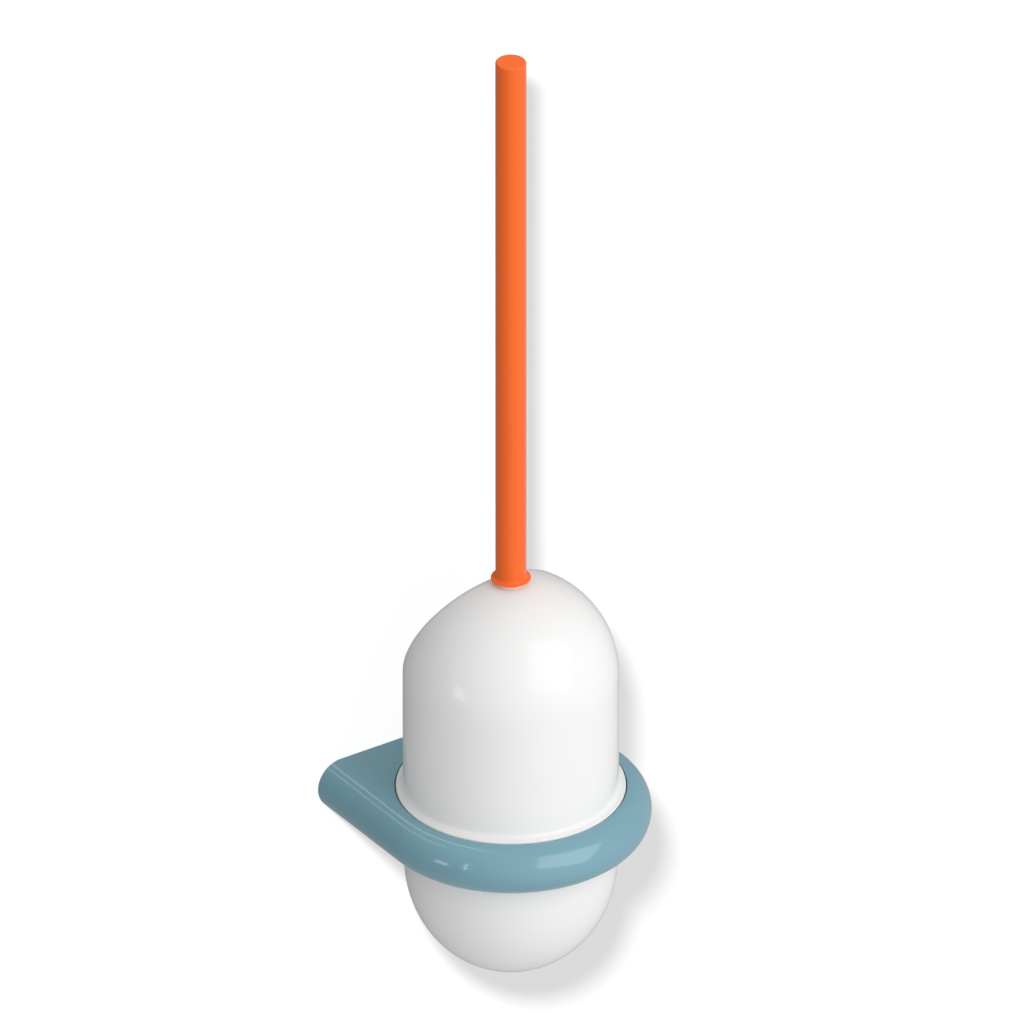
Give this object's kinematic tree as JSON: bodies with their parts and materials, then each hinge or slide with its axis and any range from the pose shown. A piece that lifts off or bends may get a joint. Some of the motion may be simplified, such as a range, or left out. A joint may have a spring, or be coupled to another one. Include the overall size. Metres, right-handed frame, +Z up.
{
  "type": "toilet brush holder",
  "caption": "Wall-hung toilet brush set: rounded ring bracket, white bowl hanging in it, domed lid with a slanted back, and a brush on a long slim round handle.",
  "frame": {"origin": "on the wall face, at the bracket's middle in width and height", "axes": "+Y into the wall, +Z up along the handle, +X to the right seen from the room"},
  "size_m": [0.124, 0.122, 0.4572],
  "materials": {
    "bracket_plastic": "gloss",
    "white_plastic": "gloss",
    "handle_plastic": "gloss",
    "nylon": "satin",
    "bristle": "satin",
    "steel": "satin",
    "brass": "satin"
  },
  "bodies": {
    "bracket": {"wall_bracket": "bracket_plastic", "mounting_plate": "steel", "locking_screw": "steel"},
    "container": {"container": "white_plastic"},
    "lid": {"lid": "white_plastic", "lid_bush": "nylon", "bush_nut": "nylon"},
    "brush": {"handle": "handle_plastic", "handle_core": "steel", "stem_sleeve": "white_plastic", "lid_washer": "nylon", "retaining_clip": "steel", "head_core": "white_plastic", "head_insert": "brass", "bristle_row_1": "bristle", "bristle_row_2": "bristle", "bristle_row_3": "bristle", "bristle_row_4": "bristle", "bristle_row_5": "bristle", "bristle_row_6": "bristle", "bristle_row_7": "bristle", "bristle_tip": "bristle"}
  },
  "joints": [
    {"name": "container_lift", "type": "slide", "parent": "bracket", "child": "container", "axis": [0, 0, 1], "range_m": [0, 0.1]},
    {"name": "lid_lift", "type": "slide", "parent": "container", "child": "lid", "axis": [0, 0, 1], "range_m": [0, 0.12]},
    {"name": "brush_turn", "type": "hinge", "parent": "lid", "child": "brush", "pos_m": [0, -0.06, 0], "axis": [0, 0, 1], "continuous": true}
  ]
}
